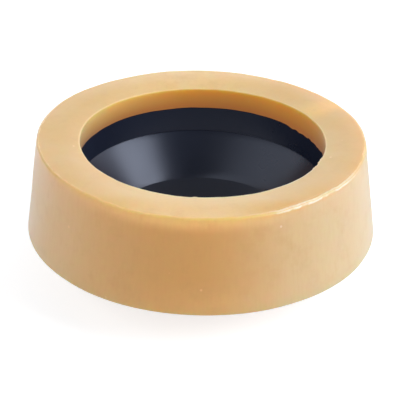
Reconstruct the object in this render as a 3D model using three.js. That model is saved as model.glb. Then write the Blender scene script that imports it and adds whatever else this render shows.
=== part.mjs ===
// Toilet pan seal: a ring of soft wax cast round a moulded plastic sleeve.
// The pan presses down on the wax, and the sleeve's neck reaches into the soil pipe below it.
// Millimetres, +Z up. The origin is on the axis, at the lower end of the neck.
import * as THREE from "three";

// Plastic sleeve. From the neck outwards and upwards, each size adds to the one before it.
const neckBore = 67.5; // inside diameter of the neck, where the cone meets it
const neckReach = 15; // how far the neck stands out below the wax
const neckDraft = 0.6; // how much narrower each side of the neck is at its lower end
const coneWidening = 12.4; // what the cone adds to the radius
const coneHeight = 14.2;
const bandHeight = 11; // upright band between the cone and the sleeve's top edge
const sleeveWall = 1.5;
const sleeveEdgeRadius = 0.7; // inside bends between neck, cone and band
const collarWidth = 4; // ledge round the sleeve's top edge that keys it into the wax
const collarThickness = 1.5;

// Wax ring.
const waxLipHeight = 0.45; // upright wall of the hole in the base, below the cone
const waxOverSleeve = 10.1; // wax above the sleeve's top edge
const holeOverhang = 2.8; // how far the hole's upper edge stands in over the sleeve
const dishWidth = 10.75; // inner part of the top face, which dips towards the hole
const dishDepth = 1.2;
const topLandWidth = 6; // flat outer part of the top face, on which the pan bears first
const outerFlare = 5; // how much further out the ring reaches at its base than at its top
const topEdgeRadius = 1.6;
const holeEdgeRadius = 1.4;
const baseEdgeRadius = 1.2;

// The wax is cast onto the plastic, so this gap only keeps their faces apart.
const clearance = 0.3;

const turnSegments = 72;
const cornerSegments = 4;

const neckRadius = neckBore / 2;
const mouthRadius = neckRadius + coneWidening;
const coneLean = Math.atan2(coneWidening, coneHeight);
const bedDistance = sleeveWall + clearance;

// How much lower a bend of the sleeve lies on a face that is further out by the given distance.
function bendDrop(distance) {
  return distance * Math.tan(coneLean / 2);
}

// Heights of the levels, from the neck's end upwards.
const waxBaseHeight = neckReach;
const coneFootHeight = waxBaseHeight + waxLipHeight + bendDrop(bedDistance);
const coneTopHeight = coneFootHeight + coneHeight;
const sleeveTopHeight = coneTopHeight + bandHeight;
const waxTopHeight = sleeveTopHeight + waxOverSleeve;

// The sleeve's inside face, or a face that lies further out by the given distance all along it.
function sleeveFace(distance) {
  return {
    neckRadius: neckRadius + distance,
    mouthRadius: mouthRadius + distance,
    footHeight: coneFootHeight - bendDrop(distance),
    shoulderHeight: coneTopHeight - bendDrop(distance),
  };
}

// A closed outline through corners [radius, height, edge radius]. An edge radius is rounded
// with an arc, which takes no more than its share of the two sides that meet there.
function roundedOutline(corners) {
  const sideShare = 0.45;
  const points = corners.map(([radius, height]) => new THREE.Vector2(radius, height));
  return corners.flatMap(([, , edgeRadius = 0], index) => {
    const corner = points[index];
    if (edgeRadius <= 0) {
      return [corner];
    }
    const before = points.at(index - 1).clone().sub(corner);
    const after = points[(index + 1) % points.length].clone().sub(corner);
    const halfAngle = Math.acos(before.dot(after) / before.length() / after.length()) / 2;
    const room = sideShare * Math.min(before.length(), after.length());
    const setback = Math.min(edgeRadius / Math.tan(halfAngle), room);
    const arcRadius = setback * Math.tan(halfAngle);
    before.normalize();
    after.normalize();
    const inwards = before.clone().add(after).normalize();
    const centre = corner.clone().addScaledVector(inwards, arcRadius / Math.sin(halfAngle));
    const start = corner.clone().addScaledVector(before, setback);
    const turn = Math.sign(after.cross(before)) * (Math.PI - 2 * halfAngle);
    const steps = Array.from({ length: cornerSegments + 1 }, (_, step) => step / cornerSegments);
    return steps.map((share) => start.clone().rotateAround(centre, turn * share));
  });
}

// A named mesh turned about +Z. Its corners run anticlockwise, with the axis at their left.
function turned(name, corners, material) {
  const outline = roundedOutline(corners);
  outline.push(outline[0].clone());
  const geometry = new THREE.LatheGeometry(outline, turnSegments);
  geometry.rotateX(Math.PI / 2);
  const mesh = new THREE.Mesh(geometry, material);
  mesh.name = name;
  return mesh;
}

const seal = new THREE.Group();

// Funnel sleeve: neck, cone and band in one moulding, with a ledge round its top edge.
const plastic = new THREE.MeshStandardMaterial({
  color: 0x23252e,
  roughness: 0.3,
  metalness: 0,
});
const inside = sleeveFace(0);
const outside = sleeveFace(sleeveWall);
const collarRadius = outside.mouthRadius + collarWidth;
const collarUnderHeight = sleeveTopHeight - collarThickness;
const sleeve = turned(
  "funnel_sleeve",
  [
    [inside.neckRadius - neckDraft, 0],
    [outside.neckRadius - neckDraft, 0],
    [outside.neckRadius, outside.footHeight],
    [outside.mouthRadius, outside.shoulderHeight],
    [outside.mouthRadius, collarUnderHeight],
    [collarRadius, collarUnderHeight],
    [collarRadius, sleeveTopHeight],
    [inside.mouthRadius, sleeveTopHeight],
    [inside.mouthRadius, inside.shoulderHeight, sleeveEdgeRadius],
    [inside.neckRadius, inside.footHeight, sleeveEdgeRadius],
  ],
  plastic,
);
seal.add(sleeve);

// Wax ring: the casting round the sleeve, with a dished top face and a flat base.
const wax = new THREE.MeshStandardMaterial({
  color: 0xe3c091,
  roughness: 0.45,
  metalness: 0,
});
const bed = sleeveFace(bedDistance);
const holeRadius = mouthRadius - holeOverhang;
const landRadius = holeRadius + dishWidth;
const topRadius = landRadius + topLandWidth;
const ring = turned(
  "wax_ring",
  [
    [bed.neckRadius, waxBaseHeight],
    [topRadius + outerFlare, waxBaseHeight, baseEdgeRadius],
    [topRadius, waxTopHeight, topEdgeRadius],
    [landRadius, waxTopHeight],
    [holeRadius, waxTopHeight - dishDepth, holeEdgeRadius],
    [mouthRadius, sleeveTopHeight + clearance],
    [collarRadius + clearance, sleeveTopHeight + clearance],
    [collarRadius + clearance, collarUnderHeight - clearance],
    [bed.mouthRadius, collarUnderHeight - clearance],
    [bed.mouthRadius, bed.shoulderHeight],
    [bed.neckRadius, bed.footHeight],
  ],
  wax,
);
seal.add(ring);

export default seal;
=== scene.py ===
import math

import bpy
from mathutils import Matrix, Vector


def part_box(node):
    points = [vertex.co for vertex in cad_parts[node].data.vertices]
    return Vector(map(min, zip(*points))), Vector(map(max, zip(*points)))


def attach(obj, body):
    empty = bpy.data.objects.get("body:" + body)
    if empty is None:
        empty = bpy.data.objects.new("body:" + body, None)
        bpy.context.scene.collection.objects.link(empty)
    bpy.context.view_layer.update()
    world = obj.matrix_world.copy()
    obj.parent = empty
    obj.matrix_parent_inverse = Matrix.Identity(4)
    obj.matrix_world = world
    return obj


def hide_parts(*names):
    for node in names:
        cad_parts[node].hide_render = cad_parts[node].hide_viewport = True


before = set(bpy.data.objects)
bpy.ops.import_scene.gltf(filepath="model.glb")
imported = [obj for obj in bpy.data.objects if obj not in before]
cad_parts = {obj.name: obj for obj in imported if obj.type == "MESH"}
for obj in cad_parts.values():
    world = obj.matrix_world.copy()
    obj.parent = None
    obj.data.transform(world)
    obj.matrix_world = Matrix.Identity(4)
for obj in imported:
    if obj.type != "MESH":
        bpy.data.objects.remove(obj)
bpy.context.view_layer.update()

# Camera: a product shot from about 30 degrees above the table, through a long lens.
MM = 0.001
CAMERA_BACK = 484.6 * MM
CAMERA_HEIGHT = 293.8 * MM
CAMERA_PAN = math.radians(0.301)
CAMERA_DIP = math.radians(29.371)
CAMERA_ROLL = math.radians(1.475)
PICTURE_PIXELS = 416
FOCAL_PIXELS = 1476.5
SENSOR_WIDTH = 36  # in the camera's own millimetres

camera_data = bpy.data.cameras.new("product_camera")
camera_data.sensor_width = SENSOR_WIDTH
camera_data.lens = FOCAL_PIXELS / PICTURE_PIXELS * SENSOR_WIDTH
camera = bpy.data.objects.new("product_camera", camera_data)
bpy.context.scene.collection.objects.link(camera)
ahead = Vector((
    math.sin(CAMERA_PAN) * math.cos(CAMERA_DIP),
    math.cos(CAMERA_PAN) * math.cos(CAMERA_DIP),
    -math.sin(CAMERA_DIP),
))
level = ahead.cross(Vector((0, 0, 1))).normalized()
upright = level.cross(ahead)
right = math.cos(CAMERA_ROLL) * level + math.sin(CAMERA_ROLL) * upright
over = math.cos(CAMERA_ROLL) * upright - math.sin(CAMERA_ROLL) * level
facing = Matrix((right, over, -ahead)).transposed().to_4x4()
camera.matrix_world = Matrix.Translation((0, -CAMERA_BACK, CAMERA_HEIGHT)) @ facing
bpy.context.scene.camera = camera


# Funnel sleeve: the black inner part, one injection moulding in polyethylene.
# A neck for the soil pipe opens through a cone into an upright band, whose top edge turns
# out into a ledge that holds it in the wax.
def add_node(tree, kind, inputs=None, **settings):
    """Adds a node with its settings. An input takes a value, a socket or a node's first output."""
    node = tree.nodes.new(kind)
    for setting, value in settings.items():
        setattr(node, setting, value)
    for name, value in (inputs or {}).items():
        source = value.outputs[0] if isinstance(value, bpy.types.Node) else value
        if isinstance(source, bpy.types.NodeSocket):
            tree.links.new(source, node.inputs[name])
        else:
            node.inputs[name].default_value = source
    return node


def linear(hex_colour):
    """The linear colour of an sRGB hex value, with full alpha."""
    levels = [int(hex_colour[i:i + 2], 16) / 255 for i in (0, 2, 4)]
    return (*[v / 12.92 if v <= 0.04045 else ((v + 0.055) / 1.055) ** 2.4 for v in levels], 1)


TURN_STEPS = 540
ARC_STEPS = 8
SHARP_BEND = math.radians(30)


def turned_tree(name, sizes, corners):
    """A tree that turns a closed outline about the upright axis, and the node that ends it.

    sizes gives the tree's named inputs, in metres. Each corner names the inputs that hold its
    radius, its height and, where it is rounded, its edge radius.
    """
    tree = bpy.data.node_groups.new(name, "GeometryNodeTree")
    tree.interface.new_socket("Mesh", in_out="OUTPUT", socket_type="NodeSocketGeometry")
    for size in sizes:
        tree.interface.new_socket(size, in_out="INPUT", socket_type="NodeSocketFloat")
    given = tree.nodes.new("NodeGroupInput").outputs

    # A row of points moves to the corners, and the closed outline is rounded there.
    line = add_node(tree, "GeometryNodeCurvePrimitiveLine")
    row = add_node(tree, "GeometryNodeResampleCurve", {"Curve": line, "Count": len(corners)})
    index = add_node(tree, "GeometryNodeInputIndex")
    place = add_node(tree, "GeometryNodeIndexSwitch", {"Index": index}, data_type="VECTOR")
    edge = add_node(tree, "GeometryNodeIndexSwitch", {"Index": index}, data_type="FLOAT")
    for switch in (place, edge):
        while len(switch.index_switch_items) < len(corners):
            switch.index_switch_items.new()
    for number, (radius, height, *rounding) in enumerate(corners, start=1):
        corner = add_node(tree, "ShaderNodeCombineXYZ", {"X": given[radius], "Y": given[height]})
        tree.links.new(corner.outputs[0], place.inputs[number])
        for edge_radius in rounding:
            tree.links.new(given[edge_radius], edge.inputs[number])
    outline = add_node(tree, "GeometryNodeSetPosition", {"Geometry": row, "Position": place})
    closed = add_node(tree, "GeometryNodeSetSplineCyclic", {"Geometry": outline, "Cyclic": True})
    rounded = add_node(
        tree, "GeometryNodeFilletCurve",
        {"Curve": closed, "Count": ARC_STEPS, "Radius": edge, "Limit Radius": True},
        mode="POLY",
    )

    # Its sides are cut into short lengths, so that the mesh can be bent out of true.
    position = add_node(tree, "GeometryNodeInputPosition")
    following = add_node(tree, "GeometryNodeOffsetPointInCurve", {"Offset": 1})
    next_position = add_node(
        tree, "GeometryNodeFieldAtIndex",
        {"Index": following.outputs["Point Index"], "Value": position},
        data_type="FLOAT_VECTOR",
    )
    side = add_node(
        tree, "ShaderNodeVectorMath", {0: position, 1: next_position}, operation="DISTANCE"
    )
    cuts = add_node(
        tree, "ShaderNodeMath", {0: side.outputs["Value"], 1: given["Point spacing"]},
        operation="DIVIDE",
    )
    dense = add_node(tree, "GeometryNodeSubdivideCurve", {"Curve": rounded, "Cuts": cuts})

    # It is swept round a circle of the mouth's size. The sweep turns an outline upside down, so it
    # is turned over first, and the faces, which then look inwards, are flipped.
    path = add_node(
        tree, "GeometryNodeCurvePrimitiveCircle",
        {"Resolution": TURN_STEPS, "Radius": given["Mouth radius"]}, mode="RADIUS",
    )
    path_place = add_node(tree, "ShaderNodeCombineXYZ", {"X": given["Mouth radius"]})
    upturned = add_node(
        tree, "ShaderNodeVectorMath", {0: position, 1: (1, -1, 1)}, operation="MULTIPLY"
    )
    from_path = add_node(
        tree, "ShaderNodeVectorMath", {0: upturned, 1: path_place}, operation="SUBTRACT"
    )
    shifted = add_node(tree, "GeometryNodeSetPosition", {"Geometry": dense, "Position": from_path})
    turned = add_node(tree, "GeometryNodeCurveToMesh", {"Curve": path, "Profile Curve": shifted})
    return tree, add_node(tree, "GeometryNodeFlipFaces", {"Mesh": turned})


def finished_mesh(name, tree, last_node, material, sizes):
    """Ends the tree, runs it once with its sizes, and keeps the result as a plain mesh."""
    real = add_node(tree, "GeometryNodeRealizeInstances", {"Geometry": last_node})
    smooth = add_node(tree, "GeometryNodeSetShadeSmooth", {"Geometry": real})
    bend = add_node(tree, "GeometryNodeInputMeshEdgeAngle").outputs["Unsigned Angle"]
    sharp = add_node(tree, "ShaderNodeMath", {0: bend, 1: SHARP_BEND}, operation="GREATER_THAN")
    crisp = add_node(
        tree, "GeometryNodeSetShadeSmooth",
        {"Geometry": smooth, "Selection": sharp, "Shade Smooth": False}, domain="EDGE",
    )
    dressed = add_node(tree, "GeometryNodeSetMaterial", {"Geometry": crisp, "Material": material})
    add_node(tree, "NodeGroupOutput", {"Mesh": dressed})
    piece = bpy.data.objects.new(name, bpy.data.meshes.new(name))
    bpy.context.scene.collection.objects.link(piece)
    modifier = piece.modifiers.new(tree.name, "NODES")
    modifier.node_group = tree
    for socket in tree.interface.items_tree:
        if socket.in_out == "INPUT":
            modifier[socket.identifier] = sizes[socket.name]
    bpy.context.view_layer.update()
    made = piece.evaluated_get(bpy.context.evaluated_depsgraph_get())
    mesh = bpy.data.meshes.new_from_object(made)
    piece.modifiers.remove(modifier)
    piece.data = mesh
    mesh.name = name
    return piece


# A shallow groove runs round the shoulder, and the cone steepens to a narrow lip above the neck.
sleeve_low, sleeve_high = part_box("funnel_sleeve")
NECK_RADIUS = 33.75 * MM
NECK_END_RADIUS = NECK_RADIUS - 0.6 * MM
MOUTH_RADIUS = 46.15 * MM
WALL = 1.5 * MM
COLLAR_THICKNESS = 1.5 * MM
sleeve_sizes = {
    "Neck end radius": NECK_END_RADIUS,
    "Neck radius": NECK_RADIUS,
    "Lip radius": NECK_RADIUS + 0.8 * MM,
    "Mouth radius": MOUTH_RADIUS,
    "Groove radius": MOUTH_RADIUS + 0.35 * MM,
    "Outer neck end radius": NECK_END_RADIUS + WALL,
    "Outer neck radius": NECK_RADIUS + WALL,
    "Outer mouth radius": MOUTH_RADIUS + WALL,
    "Collar radius": sleeve_high.x,
    "Neck end height": sleeve_low.z,
    "Outer foot height": 15.56 * MM,
    "Foot height": 15.86 * MM,
    "Lip height": 17.04 * MM,
    "Outer shoulder height": 29.76 * MM,
    "Shoulder height": 30.325 * MM,
    "Groove height": 30.65 * MM,
    "Groove top height": 30.95 * MM,
    "Collar under height": sleeve_high.z - COLLAR_THICKNESS,
    "Top height": sleeve_high.z,
    "Point spacing": 2.0 * MM,
}
sleeve_corners = [
    ("Neck end radius", "Neck end height"),
    ("Outer neck end radius", "Neck end height"),
    ("Outer neck radius", "Outer foot height"),
    ("Outer mouth radius", "Outer shoulder height"),
    ("Outer mouth radius", "Collar under height"),
    ("Collar radius", "Collar under height"),
    ("Collar radius", "Top height"),
    ("Mouth radius", "Top height"),
    ("Mouth radius", "Groove top height"),
    ("Groove radius", "Groove height"),
    ("Mouth radius", "Shoulder height"),
    ("Lip radius", "Lip height"),
    ("Neck radius", "Foot height"),
]

# Black polyethylene from a polished mould: smooth and blue-black, with a slightly soft gloss
# that varies a little, and fine rings left by the turned core of the mould.
SWIRL_SIZE = 18 * MM
RING_SPACING = 0.9 * MM
RING_DEPTH = 0.002 * MM
NOISE_LOW = 0.3  # nearly all of a noise pattern lies between these two levels
NOISE_HIGH = 0.7
polyethylene = bpy.data.materials.new("black_moulded_polyethylene")
polyethylene.use_nodes = True
shader_tree = polyethylene.node_tree
shader = shader_tree.nodes["Principled BSDF"]
where = add_node(shader_tree, "ShaderNodeTexCoord").outputs["Object"]
swirl = add_node(
    shader_tree, "ShaderNodeTexNoise", {"Vector": where, "Scale": 1 / SWIRL_SIZE, "Detail": 3.0}
)
shade = add_node(
    shader_tree, "ShaderNodeMix", {"Factor": swirl, "A": linear("191e2d"), "B": linear("1f2536")},
    data_type="RGBA",
)
shader_tree.links.new(shade.outputs["Result"], shader.inputs["Base Color"])
gloss = add_node(
    shader_tree, "ShaderNodeMapRange",
    {"Value": swirl, "From Min": NOISE_LOW, "From Max": NOISE_HIGH, "To Min": 0.27, "To Max": 0.32},
)
shader_tree.links.new(gloss.outputs[0], shader.inputs["Roughness"])
shader.inputs["IOR"].default_value = 1.58
shader.inputs["Specular Tint"].default_value = linear("dce2f3")
rise = add_node(shader_tree, "ShaderNodeSeparateXYZ", {"Vector": where}).outputs["Z"]
rings = add_node(
    shader_tree, "ShaderNodeTexNoise", {"W": rise, "Scale": 1 / RING_SPACING, "Detail": 2.0},
    noise_dimensions="1D",
)
marks = add_node(shader_tree, "ShaderNodeBump", {"Height": rings, "Distance": RING_DEPTH})
shader_tree.links.new(marks.outputs[0], shader.inputs["Normal"])

tree, moulding = turned_tree("turned_funnel_sleeve", sleeve_sizes, sleeve_corners)
sleeve = finished_mesh("funnel_sleeve_moulding", tree, moulding, polyethylene, sleeve_sizes)
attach(sleeve, "root")
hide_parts("funnel_sleeve")


# Wax ring: petroleum wax, poured round the sleeve in a tapered mould and turned out when cold.
# It is soft and cloudy, with a satin skin, rounded edges and a top face that has sunk a little.
# Its hole is a little narrower than the sleeve's mouth, and ends there in a thin film.
wax_low, wax_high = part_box("wax_ring")
CLEARANCE = 0.3 * MM
TOP_RADIUS = 60.2 * MM
HOLE_RADIUS = 44.35 * MM
BASE = wax_low.z
TOP = wax_high.z
BED = sleeve_high.z + CLEARANCE
ring_sizes = {
    "Hole radius": HOLE_RADIUS,
    "Land radius": 54.1 * MM,
    "Top radius": TOP_RADIUS,
    "Base radius": 65.1 * MM,
    "Neck hole radius": NECK_RADIUS + WALL + CLEARANCE,
    "Bed mouth radius": MOUTH_RADIUS + WALL + CLEARANCE,
    "Collar bed radius": sleeve_high.x + CLEARANCE,
    "Mouth radius": MOUTH_RADIUS,
    "Film radius": 45.9 * MM,
    "Film back radius": 46.1 * MM,
    "Base height": BASE,
    "Bed foot height": 15.45 * MM,
    "Bed shoulder height": 29.65 * MM,
    "Collar bed height": sleeve_high.z - COLLAR_THICKNESS - CLEARANCE,
    "Film end height": sleeve_high.z - 0.1 * MM,
    "Sleeve top height": BED,
    "Hole edge height": TOP - 1.2 * MM,
    "Top height": TOP,
    "Base edge radius": 1.2 * MM,
    "Top edge radius": 0.9 * MM,
    "Dish radius": 60.0 * MM,
    "Hole edge radius": 0.4 * MM,
    "Point spacing": 1.0 * MM,
}
ring_corners = [
    ("Neck hole radius", "Base height"),
    ("Base radius", "Base height", "Base edge radius"),
    ("Top radius", "Top height", "Top edge radius"),
    ("Land radius", "Top height", "Dish radius"),
    ("Hole radius", "Hole edge height", "Hole edge radius"),
    ("Film radius", "Film end height"),
    ("Film back radius", "Film end height"),
    ("Film back radius", "Sleeve top height"),
    ("Collar bed radius", "Sleeve top height"),
    ("Collar bed radius", "Collar bed height"),
    ("Bed mouth radius", "Collar bed height"),
    ("Bed mouth radius", "Bed shoulder height"),
    ("Neck hole radius", "Bed foot height"),
]

# Petroleum wax with a little bees wax: cloudy and amber, so light sinks in and comes out redder, under a
# satin skin with a faint pale sheen. The hole's wall is painted a deeper amber, for light that bounces
# inside the hole.
wax = bpy.data.materials.new("cast_petroleum_wax")
wax.use_nodes = True
shader_tree = wax.node_tree
shader = shader_tree.nodes["Principled BSDF"]
where = add_node(shader_tree, "ShaderNodeTexCoord").outputs["Object"]
along = add_node(shader_tree, "ShaderNodeSeparateXYZ", {"Vector": where}).outputs

# The mesh carries these measures and zones, taken before it is bent out of true.
edge_turn, rim_distance, near_top, amber, core_side, ridged_highlight_zone = [
    add_node(shader_tree, "ShaderNodeAttribute", attribute_name=name).outputs["Fac"]
    for name in ("edge_turn", "rim_distance", "near_top", "amber", "core_side", "ridged_highlight_zone")
]

# The wax's patterns, each with the size of its grain. The skin's is drawn out upwards, because
# the ring was pulled from its mould that way, and coarser than the real one, which wouldn't show.
drawn_out = add_node(
    shader_tree, "ShaderNodeVectorMath", {0: where, 1: (1, 1, 0.12)}, operation="MULTIPLY"
)
pattern = {}
for name, vector, grain, detail, roughness in (
    ("cloud", where, 16 * MM, 4.0, 0.5),
    ("smudge", where, 7 * MM, 5.0, 0.65),
    ("dimple", where, 5 * MM, 1.0, 0.5),
    ("scrape", where, 4.5 * MM, 3.0, 0.5),
    ("skin", drawn_out, 1.1 * MM, 2.0, 0.5),
):
    pattern[name] = add_node(
        shader_tree, "ShaderNodeTexNoise",
        {"Vector": vector, "Scale": 1 / grain, "Detail": detail, "Roughness": roughness},
    )
SPECK_SPACING = 11 * MM
SPECK_REACH = 0.6 * MM / SPECK_SPACING  # how far a speck reaches, as a share of the spacing
speck = add_node(shader_tree, "ShaderNodeTexVoronoi", {"Vector": where, "Scale": 1 / SPECK_SPACING})

# Each share runs from one level to another while its measure runs between two places.
share = {}
for name, measure, start, end, low, high in (
    # Low down, all but the far left of the side is paler, from light off the table.
    ("low", along["Z"], BASE + 14 * MM, BASE + 2 * MM, 0.0, 1.0),
    ("off_left", along["X"], -45 * MM, 5 * MM, 0.0, 0.5),
    # The painted sheen is palest at the right.
    ("sheen_right", along["X"], -30 * MM, 40 * MM, 0.0, 1.0),
    # A narrow golden band of painted glow lies just under the top edge, where light from the top face
    # shines through.
    ("edge_glow", edge_turn, 3.0 * MM, 0.6 * MM, 0.0, 0.55),
    # Near the hole the top face's colour is weaker, for a painted reflection of the lamps in the dished
    # face.
    ("off_rim", rim_distance, 1.0 * MM, 7.5 * MM, 0.78, 1.0),
    # The skin is cloudy and unevenly glossy, with faint smudges and upright marks.
    ("cloudy", pattern["cloud"], NOISE_LOW, NOISE_HIGH, 0.0, 1.0),
    ("satin", pattern["cloud"], NOISE_LOW, NOISE_HIGH, 0.33, 0.43),
    ("smudged", pattern["smudge"], 0.5, 0.75, 0.0, 0.22),
    ("drawn", pattern["skin"], 0.4, NOISE_HIGH, 0.0, 0.07),
    # The hole's wall is redder towards the right, a painted glow of the right lamps' light shining
    # through the wax, and darker at its foot, where the wax is thin over the black sleeve and painted
    # shade lies in the corner.
    ("core_right", along["X"], -42 * MM, -8 * MM, 0.0, 1.0),
    ("thick", along["Z"], sleeve_high.z + 0.5 * MM, TOP - 2 * MM, 0.0, 1.0),
    # The painted highlight lines stay off the hole's wall, fade in and out, break off and wander.
    ("above_core", core_side, 0.0, 1.0, 0.6, 0.0),
    ("edge_line_strength", pattern["smudge"], 0.4, 0.6, 0.3, 0.75),
    ("broken", pattern["scrape"], 0.58, 0.42, 0.2, 1.0),
    ("wander", pattern["scrape"], NOISE_LOW, NOISE_HIGH, -0.3 * MM, 0.3 * MM),
    # Small pale specks lie here and there.
    ("specked", speck, SPECK_REACH, 0.3 * SPECK_REACH, 0.0, 0.6),
):
    share[name] = add_node(
        shader_tree, "ShaderNodeMapRange",
        {"Value": measure, "From Min": start, "From Max": end, "To Min": low, "To Max": high},
    )

# Below the top edge the side glows from the light that falls in from above.
glow = add_node(
    shader_tree, "ShaderNodeMapRange",
    {"Value": edge_turn, "From Min": 7.5 * MM, "From Max": 0.3 * MM},
    interpolation_type="SMOOTHSTEP",
)
glowing = add_node(
    shader_tree, "ShaderNodeMix", {"Factor": glow, "A": linear("dfa95e"), "B": linear("fad285")},
    data_type="RGBA",
)
# Away from its middle, which lies a little to the left, the side is painted paler: a painted sheen,
# where light glances off it.
from_middle = add_node(shader_tree, "ShaderNodeMath", {0: along["X"], 1: 6 * MM}, operation="ADD")
off_middle = add_node(shader_tree, "ShaderNodeMath", {0: from_middle}, operation="ABSOLUTE")
painted_light_share = add_node(
    shader_tree, "ShaderNodeMapRange",
    {"Value": off_middle, "From Min": 4 * MM, "From Max": 46 * MM},
    interpolation_type="SMOOTHSTEP",
)
painted_sheen_colour = add_node(
    shader_tree, "ShaderNodeMix",
    {"Factor": share["sheen_right"], "A": linear("e4ba82"), "B": linear("e2c493")},
    data_type="RGBA",
)
# The top face is cloudy in the middle, and a deeper gold at the left and right, which is painted shade.
cloudy_colour = add_node(
    shader_tree, "ShaderNodeMix",
    {"Factor": share["cloudy"], "A": linear("ebbc69"), "B": linear("edc681")},
    data_type="RGBA",
)
top_colour = add_node(
    shader_tree, "ShaderNodeMix",
    {"Factor": painted_light_share, "A": cloudy_colour.outputs["Result"], "B": linear("daae58")},
    data_type="RGBA",
)
# The hole's wall is a deeper amber, painted light that bounces inside the hole and shines through the
# wax, and darkens to a thin brown film at its foot, partly painted shade.
film_colour = add_node(
    shader_tree, "ShaderNodeMix",
    {"Factor": share["core_right"], "A": linear("bf7d38"), "B": linear("e28a3c")},
    data_type="RGBA",
)
wall_colour = add_node(
    shader_tree, "ShaderNodeMix",
    {"Factor": share["core_right"], "A": linear("ffd276"), "B": linear("ffbc46")},
    data_type="RGBA",
)
core_colour = add_node(
    shader_tree, "ShaderNodeMix",
    {
        "Factor": share["thick"],
        "A": film_colour.outputs["Result"],
        "B": wall_colour.outputs["Result"],
    },
    data_type="RGBA",
)

# Thin lines of painted highlight are paler, and also shinier: one on the hole's rim, one all round the
# top edge, and a broken one below it at the front right.
LINE_WIDTH = 0.8 * MM
wandering = add_node(shader_tree, "ShaderNodeMath", {0: edge_turn, 1: share["wander"]}, operation="ADD")
broken_line_strength = add_node(shader_tree, "ShaderNodeMath", {0: ridged_highlight_zone, 1: share["broken"]}, operation="MULTIPLY")
specks_and_highlights = share["specked"]
for distance, middle, strength in (
    (rim_distance, 0.2 * MM, share["above_core"]),
    (wandering, -0.4 * MM, share["edge_line_strength"]),
    (wandering, 0.8 * MM, broken_line_strength),
):
    aside = add_node(shader_tree, "ShaderNodeMath", {0: distance, 1: middle}, operation="SUBTRACT")
    reach = add_node(shader_tree, "ShaderNodeMath", {0: aside}, operation="ABSOLUTE")
    line = add_node(
        shader_tree, "ShaderNodeMapRange",
        {"Value": reach, "From Min": LINE_WIDTH * 0.75, "From Max": LINE_WIDTH * 0.25},
        interpolation_type="SMOOTHSTEP",
    )
    drawn_line = add_node(shader_tree, "ShaderNodeMath", {0: line, 1: strength}, operation="MULTIPLY")
    specks_and_highlights = add_node(shader_tree, "ShaderNodeMath", {0: specks_and_highlights, 1: drawn_line}, operation="ADD")
# The specks and lines are cream, and the lines are a whiter painted highlight at the front right, where
# the right lamps shine on the top edge.
speck_and_highlight_colour = add_node(
    shader_tree, "ShaderNodeMix", {"Factor": ridged_highlight_zone, "A": linear("ffd095"), "B": linear("fff1dc")},
    data_type="RGBA",
)

# The colour is laid on in coats, from the glowing side to the specks and painted highlight lines.
low_share = add_node(
    shader_tree, "ShaderNodeMath", {0: share["low"], 1: share["off_left"]}, operation="MULTIPLY"
)
top_share = add_node(
    shader_tree, "ShaderNodeMath", {0: near_top, 1: share["off_rim"]}, operation="MULTIPLY"
)
marked = add_node(
    shader_tree, "ShaderNodeMath", {0: share["smudged"], 1: share["drawn"]}, operation="ADD"
)
colour = glowing.outputs["Result"]
for coat_share, coat in (
    (low_share, linear("f0c27e")),
    (painted_light_share, painted_sheen_colour.outputs["Result"]),
    (share["edge_glow"], linear("e9bd72")),
    (top_share, top_colour.outputs["Result"]),
    (amber, linear("eebb57")),
    (marked, linear("c8944c")),
    (core_side, core_colour.outputs["Result"]),
    (specks_and_highlights, speck_and_highlight_colour.outputs["Result"]),
):
    coated = add_node(
        shader_tree, "ShaderNodeMix", {"Factor": coat_share, "A": colour, "B": coat},
        data_type="RGBA",
    )
    colour = coated.outputs["Result"]
shader_tree.links.new(colour, shader.inputs["Base Color"])

# The satin skin is shinier at the specks and painted highlight lines, and its faint pale veil is a
# sheen.
shiny = add_node(
    shader_tree, "ShaderNodeMix", {"Factor": specks_and_highlights, "A": share["satin"], "B": 0.22},
    data_type="FLOAT",
)
shader_tree.links.new(shiny.outputs["Result"], shader.inputs["Roughness"])
shader.inputs["IOR"].default_value = 1.46
shader.inputs["Sheen Weight"].default_value = 0.6
shader.inputs["Sheen Roughness"].default_value = 0.45
shader.inputs["Sheen Tint"].default_value = linear("fff4e4")

# Light sinks in everywhere but at a speck or painted highlight line, and at the hole's foot, where the
# wax is thin.
whole = add_node(shader_tree, "ShaderNodeMapRange", {"Value": specks_and_highlights, "To Min": 1.0, "To Max": 0.1})
thin = add_node(shader_tree, "ShaderNodeMath", {0: 1.0, 1: share["thick"]}, operation="SUBTRACT")
thin_core = add_node(shader_tree, "ShaderNodeMath", {0: thin, 1: core_side}, operation="MULTIPLY")
sinking = add_node(
    shader_tree, "ShaderNodeMath", {0: whole, 1: thin_core}, operation="SUBTRACT", use_clamp=True
)
shader_tree.links.new(sinking.outputs[0], shader.inputs["Subsurface Weight"])
shader.inputs["Subsurface Radius"].default_value = (1.0, 0.42, 0.16)
shader.inputs["Subsurface Scale"].default_value = 11 * MM

# The skin is dimpled and drawn. Where the top edge was handled, two low ridges follow it.
DIMPLE_DEPTH = 0.05 * MM
SKIN_DEPTH = 0.010 * MM
RIDGE_SPACING = 2 * MM
RIDGE_DEPTH = 0.05 * MM
wave = add_node(
    shader_tree, "ShaderNodeMath", {0: edge_turn, 1: 2 * math.pi / RIDGE_SPACING},
    operation="MULTIPLY",
)
ridges = add_node(shader_tree, "ShaderNodeMath", {0: wave}, operation="COSINE")
reach = add_node(shader_tree, "ShaderNodeMath", {0: edge_turn}, operation="ABSOLUTE")
beside = add_node(
    shader_tree, "ShaderNodeMapRange",
    {"Value": reach, "From Min": 0.95 * RIDGE_SPACING, "From Max": 0.7 * RIDGE_SPACING},
    interpolation_type="SMOOTHSTEP",
)
ridge_share = add_node(shader_tree, "ShaderNodeMath", {0: beside, 1: ridged_highlight_zone}, operation="MULTIPLY")
ridged = add_node(shader_tree, "ShaderNodeMath", {0: ridges, 1: ridge_share}, operation="MULTIPLY")
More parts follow.
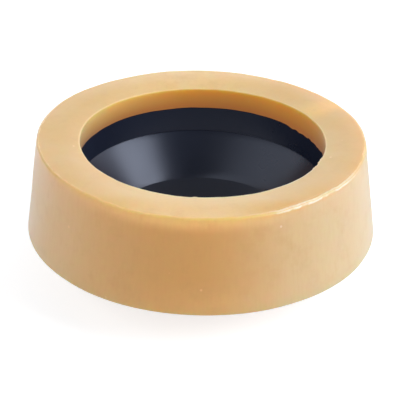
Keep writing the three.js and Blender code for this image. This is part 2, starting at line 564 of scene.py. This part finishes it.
dimpled = add_node(
    shader_tree, "ShaderNodeBump", {"Height": pattern["dimple"], "Distance": DIMPLE_DEPTH}
)
skinned = add_node(
    shader_tree, "ShaderNodeBump",
    {"Height": pattern["skin"], "Distance": SKIN_DEPTH, "Normal": dimpled},
)
relief = add_node(
    shader_tree, "ShaderNodeBump", {"Height": ridged, "Distance": RIDGE_DEPTH, "Normal": skinned},
    invert=True,
)
shader_tree.links.new(relief.outputs[0], shader.inputs["Normal"])

tree, cast = turned_tree("turned_wax_ring", ring_sizes, ring_corners)

# Where on the ring a point lies: how far to the right, back, up and out, and how far across the
# amber streak. Then two level ways, straight outwards and the part of it that goes sideways.
STREAK_ACROSS = (-0.5, 0.866, 0)
place = add_node(tree, "GeometryNodeInputPosition")
place_x = add_node(tree, "ShaderNodeSeparateXYZ", {"Vector": place}).outputs["X"]
place_y = add_node(tree, "ShaderNodeSeparateXYZ", {"Vector": place}).outputs["Y"]
height = add_node(tree, "ShaderNodeSeparateXYZ", {"Vector": place}).outputs["Z"]
level_place = add_node(tree, "ShaderNodeVectorMath", {0: place, 1: (1, 1, 0)}, operation="MULTIPLY")
radius = add_node(tree, "ShaderNodeVectorMath", {0: level_place}, operation="LENGTH").outputs["Value"]
slant = add_node(
    tree, "ShaderNodeVectorMath", {0: place, 1: STREAK_ACROSS}, operation="DOT_PRODUCT"
).outputs["Value"]
outwards = add_node(tree, "ShaderNodeVectorMath", {0: level_place}, operation="NORMALIZE")
sideways = add_node(tree, "ShaderNodeVectorMath", {0: outwards, 1: (1, 0, 0)}, operation="MULTIPLY")


def zone(*spans):
    """A field that is 1 inside every span of (measure, where it is 0, where it is 1)."""
    inside = 1.0
    for measure, none, whole in spans:
        ramp = add_node(
            tree, "ShaderNodeMapRange", {"Value": measure, "From Min": none, "From Max": whole},
            interpolation_type="SMOOTHSTEP",
        )
        inside = add_node(tree, "ShaderNodeMath", {0: inside, 1: ramp}, operation="MULTIPLY")
    return inside


def swell(grain, low, high, seed):
    """A smooth field of swells, each about a grain across, that runs from low to high."""
    noise = add_node(
        tree, "ShaderNodeTexNoise", {"Vector": place, "W": seed, "Scale": 1 / grain, "Detail": 1.0},
        noise_dimensions="4D",
    )
    return add_node(
        tree, "ShaderNodeMapRange",
        {"Value": noise, "From Min": 0.25, "From Max": 0.75, "To Min": low, "To Max": high},
    )


# Spans that several zones share, and then the zones, in which the casting is marked or moved.
on_side = (radius, 53 * MM, 56 * MM)
on_land = (radius, TOP_RADIUS - 0.2 * MM, TOP_RADIUS - 0.9 * MM)
on_rim = (radius, 46 * MM, 44.8 * MM)
on_band = (radius, MOUTH_RADIUS + 0.1 * MM, MOUTH_RADIUS)
rim_high = (height, TOP - 2.6 * MM, TOP - 1.6 * MM)
upper = (height, TOP - 10 * MM, TOP - 1.5 * MM)
film_low = (height, BED + 3 * MM, sleeve_high.z)
side = zone(on_side)
rising_side = zone(on_side, (height, BASE, TOP))
top_face = zone((height, TOP - 4 * MM, TOP - 1.5 * MM))
near_top = zone(on_land)
top_edge = zone((height, TOP - 3.5 * MM, TOP - 1.5 * MM), (radius, 57.6 * MM, 59.4 * MM))
hole_wall = zone((height, BED + 0.5 * MM, TOP - 4 * MM), (radius, 53 * MM, 47 * MM))
hole_edge = zone((height, TOP - 4 * MM, TOP - 2 * MM), (radius, 46 * MM, 44.5 * MM))
core_side = zone(
    (height, TOP - 1.2 * MM, TOP - 1.7 * MM), (radius, MOUTH_RADIUS + 0.2 * MM, MOUTH_RADIUS)
)
film = zone(film_low, on_band)
runs = zone(film_low, on_band, (place_x, 29 * MM, 36 * MM), (place_y, -9 * MM, -2 * MM))
back_part = zone(upper, (place_y, 10 * MM, 58 * MM))
front_part = zone(upper, (place_y, -46 * MM, -57 * MM))
front_flash = zone(
    rim_high, on_rim, (place_y, -30 * MM, -40 * MM),
    (place_x, -3.6 * MM, -2.6 * MM), (place_x, -0.8 * MM, -1.8 * MM),
)
right_flash = zone(
    rim_high, on_rim, (place_x, 34 * MM, 38 * MM),
    (place_y, -23 * MM, -20 * MM), (place_y, -11 * MM, -14 * MM),
)
amber = zone(on_land, (place_x, 20 * MM, 36 * MM), (slant, -8 * MM, 0), (slant, 11 * MM, 1 * MM))
# At the front right of the top edge lie the ridges, and the painted highlight there is whiter.
ridged_highlight_zone = zone((place_x, 14 * MM, 32 * MM), (place_y, -18 * MM, -34 * MM))

# edge_turn is 0 at the corner of the top edge, below 0 over the top face and above 0 down the side.
out_and_down = add_node(tree, "ShaderNodeMath", {0: radius, 1: height}, operation="SUBTRACT")
edge_turn = add_node(
    tree, "ShaderNodeMath", {0: out_and_down, 1: TOP_RADIUS - TOP}, operation="SUBTRACT"
)
rim_distance = add_node(tree, "ShaderNodeMath", {0: radius, 1: HOLE_RADIUS}, operation="SUBTRACT")
for name, measure in (
    ("core_side", core_side),
    ("near_top", near_top),
    ("amber", amber),
    ("ridged_highlight_zone", ridged_highlight_zone),
    ("edge_turn", edge_turn),
    ("rim_distance", rim_distance),
):
    cast = add_node(
        tree, "GeometryNodeStoreNamedAttribute", {"Geometry": cast, "Name": name, "Value": measure},
        data_type="FLOAT", domain="POINT",
    )

# Each row moves a part of the casting some way and amount out of true.
for way, amount, part in (
    # The mould leaned a little, and its core left a hole that is a little oval.
    ((-1, 0, 0), 0.44 * MM, rising_side),
    (sideways, 0.55 * MM, hole_wall),
    # The wax shrank unevenly as it cooled.
    (outwards, swell(24 * MM, -0.14 * MM, 0.14 * MM, seed=1), side),
    ((0, 0, 1), swell(16 * MM, -0.12 * MM, 0.12 * MM, seed=2), top_face),
    # Its top edge was handled, and the hole's edge was trimmed.
    (outwards, swell(7 * MM, -0.12 * MM, 0.12 * MM, seed=3), top_edge),
    (outwards, swell(4 * MM, -0.1 * MM, 0.1 * MM, seed=4), hole_edge),
    # The top face sank at the back and at the front.
    ((0, 0, -1), 0.6 * MM, back_part),
    ((0, 0, -1), 0.6 * MM, front_part),
    # Bits of flash were left on the hole's edge, one at the front and some at the right.
    (outwards, -0.35 * MM, front_flash),
    (outwards, swell(1.6 * MM, -0.7 * MM, 0.1 * MM, seed=7), right_flash),
    # The thin film ran unevenly down over the sleeve's band, and furthest at the right.
    ((0, 0, -1), swell(9 * MM, 0.1 * MM, 0.4 * MM, seed=5), film),
    ((0, 0, -1), swell(2.6 * MM, 0.0 * MM, 1.0 * MM, seed=6), runs),
):
    length = add_node(tree, "ShaderNodeMath", {0: amount, 1: part}, operation="MULTIPLY")
    move = add_node(tree, "ShaderNodeVectorMath", {0: way, "Scale": length}, operation="SCALE")
    cast = add_node(tree, "GeometryNodeSetPosition", {"Geometry": cast, "Offset": move})
ring = finished_mesh("wax_ring_casting", tree, cast, wax, ring_sizes)
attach(ring, "root")
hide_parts("wax_ring")


# Stage: a plain white table, which shows the seal's own soft shadow.
TABLE_HALF = 4.0
TABLE_GAP = 0.2 * MM
table_corners = [(x * TABLE_HALF, y * TABLE_HALF, 0) for x, y in ((-1, -1), (1, -1), (1, 1), (-1, 1))]
floor_mesh = bpy.data.meshes.new("white_table")
floor_mesh.from_pydata(table_corners, [], [(0, 1, 2, 3)])
floor = bpy.data.objects.new("white_table", floor_mesh)
bpy.context.scene.collection.objects.link(floor)
floor.location.z = -TABLE_GAP

# Matt white board. It is lifted to white for the camera and in reflections, and less so in
# reflections of the patch inside the neck, where no light falls.
CAMERA_WHITE = 0.7
MIRROR_WHITE = 1.0
NECK_WHITE = 0.38
table = bpy.data.materials.new("white_table_top")
table.use_nodes = True
shader_tree = table.node_tree
shader_tree.nodes.remove(shader_tree.nodes["Principled BSDF"])
rays = add_node(shader_tree, "ShaderNodeLightPath").outputs
seen = add_node(
    shader_tree, "ShaderNodeMath", {0: rays["Is Camera Ray"], 1: CAMERA_WHITE}, operation="MULTIPLY"
)
bounced = add_node(
    shader_tree, "ShaderNodeMath", {0: rays["Is Glossy Ray"], 1: rays["Is Transmission Ray"]},
    operation="ADD",
)
spot = add_node(shader_tree, "ShaderNodeTexCoord").outputs["Object"]
off_axis = add_node(shader_tree, "ShaderNodeVectorMath", {0: spot}, operation="LENGTH")
outside_neck = add_node(
    shader_tree, "ShaderNodeMapRange",
    {
        "Value": off_axis.outputs["Value"],
        "From Min": NECK_RADIUS * 0.8,
        "From Max": NECK_RADIUS,
        "To Min": NECK_WHITE,
        "To Max": MIRROR_WHITE,
    },
)
mirrored = add_node(shader_tree, "ShaderNodeMath", {0: bounced, 1: outside_neck}, operation="MULTIPLY")
strength = add_node(shader_tree, "ShaderNodeMath", {0: seen, 1: mirrored}, operation="ADD")
shine = add_node(shader_tree, "ShaderNodeEmission", {"Color": (1, 1, 1, 1), "Strength": strength})
matt = add_node(shader_tree, "ShaderNodeBsdfDiffuse", {"Color": (0.6, 0.6, 0.6, 1)})
both = add_node(shader_tree, "ShaderNodeAddShader", {0: matt, 1: shine})
shader_tree.links.new(both.outputs[0], shader_tree.nodes["Material Output"].inputs["Surface"])
floor_mesh.materials.append(table)

# Soft studio light: three lamps at the right, a wide one at the left, a weak one in front and one
# behind. The smaller ones at the right make the bright stripe inside the cone.
LAMP_DISTANCE = 2.4


def softbox(name, azimuth, elevation, width, height, power):
    """A rectangular lamp that faces the seal. Its azimuth turns from the camera to the right."""
    data = bpy.data.lights.new(name, "AREA")
    data.shape = "RECTANGLE"
    data.size = width
    data.size_y = height
    data.energy = power
    data.color = linear("f4f8ff")[:3]
    lamp = bpy.data.objects.new(name, data)
    bpy.context.scene.collection.objects.link(lamp)
    turn = math.radians(azimuth)
    rise = math.radians(elevation)
    way = Vector((math.sin(turn) * math.cos(rise), -math.cos(turn) * math.cos(rise), math.sin(rise)))
    lamp.location = way * LAMP_DISTANCE
    lamp.rotation_euler = way.to_track_quat("Z", "Y").to_euler()
    lamp.visible_camera = False


softbox("right_core", azimuth=80, elevation=41, width=1.5, height=1.0, power=20.5)
softbox("right_softbox", azimuth=91, elevation=29, width=3.1, height=2.0, power=24)
softbox("right_strip", azimuth=75, elevation=27, width=1.4, height=0.3, power=14)
softbox("left_softbox", azimuth=-56, elevation=30, width=5.6, height=2.1, power=48.5)
softbox("front_fill", azimuth=0, elevation=24, width=3.0, height=0.9, power=6.5)
softbox("back_softbox", azimuth=180, elevation=24, width=2.9, height=1.45, power=25.5)

world = bpy.data.worlds.new("studio")
bpy.context.scene.world = world
world.use_nodes = True
world.node_tree.nodes["Background"].inputs["Color"].default_value = (1, 1, 1, 1)
world.node_tree.nodes["Background"].inputs["Strength"].default_value = 0.12
bpy.context.scene.view_settings.view_transform = "Standard"
